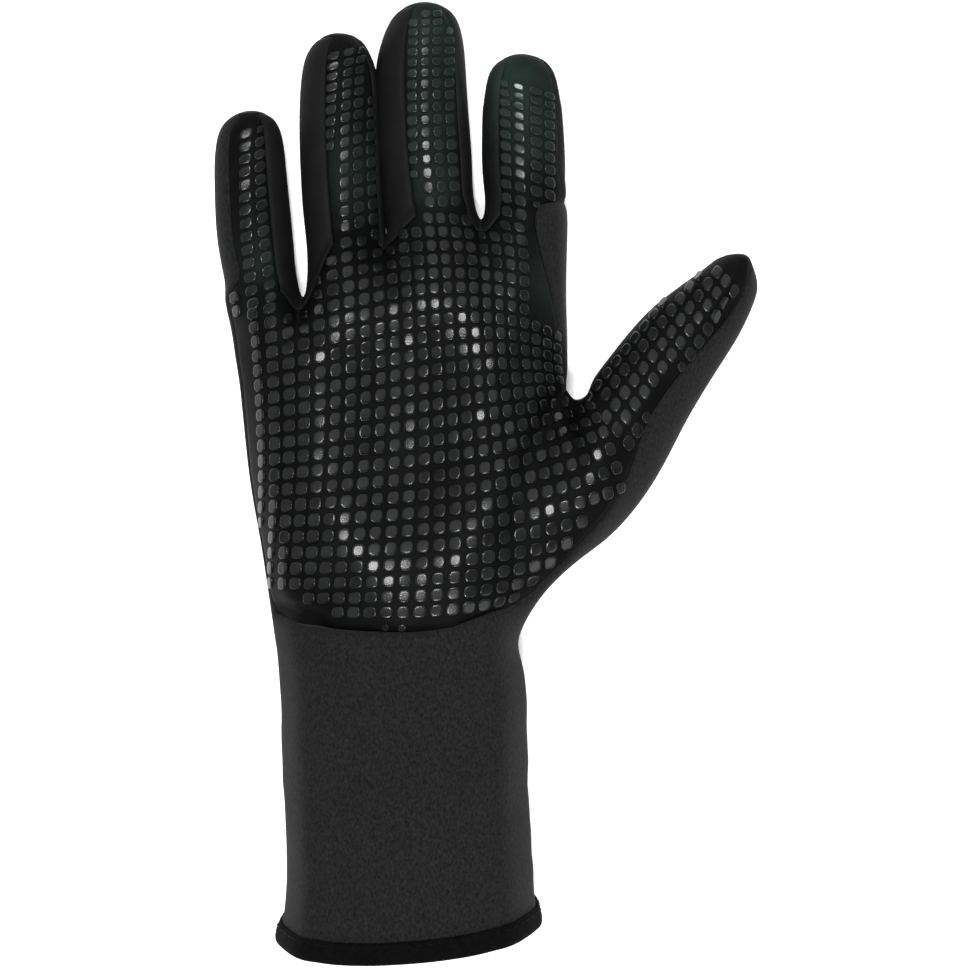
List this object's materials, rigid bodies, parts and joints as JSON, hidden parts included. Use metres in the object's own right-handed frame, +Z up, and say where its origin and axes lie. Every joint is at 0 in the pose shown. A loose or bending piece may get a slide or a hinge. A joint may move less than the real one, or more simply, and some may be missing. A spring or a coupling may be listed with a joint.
{
  "type": "diving glove",
  "caption": "Right-hand diving glove of foam rubber with a long open cuff, jersey back, black grip palm, finger gussets and a taped hem, lying palm up.",
  "frame": {"origin": "on the flat underside, on the surface that the glove lies on, under the middle of the wrist", "axes": "+X across the hand towards the thumb, +Y along the hand towards the fingertips, +Z up out of the palm"},
  "size_m": [0.1693, 0.2953, 0.0586],
  "materials": {
    "jersey_neoprene": "matt charcoal jersey on foam rubber",
    "palm_rubber": "black ground with raised satin grip dots",
    "gusset_neoprene": "smooth matt black",
    "hem_tape": "matt black woven tape"
  },
  "bodies": {
    "root": {"back_and_cuff": "jersey_neoprene", "palm_panel": "palm_rubber", "little_ring_gusset": "gusset_neoprene", "ring_middle_gusset": "gusset_neoprene", "middle_index_gusset": "gusset_neoprene", "hem_tape": "hem_tape"}
  },
  "joints": []
}
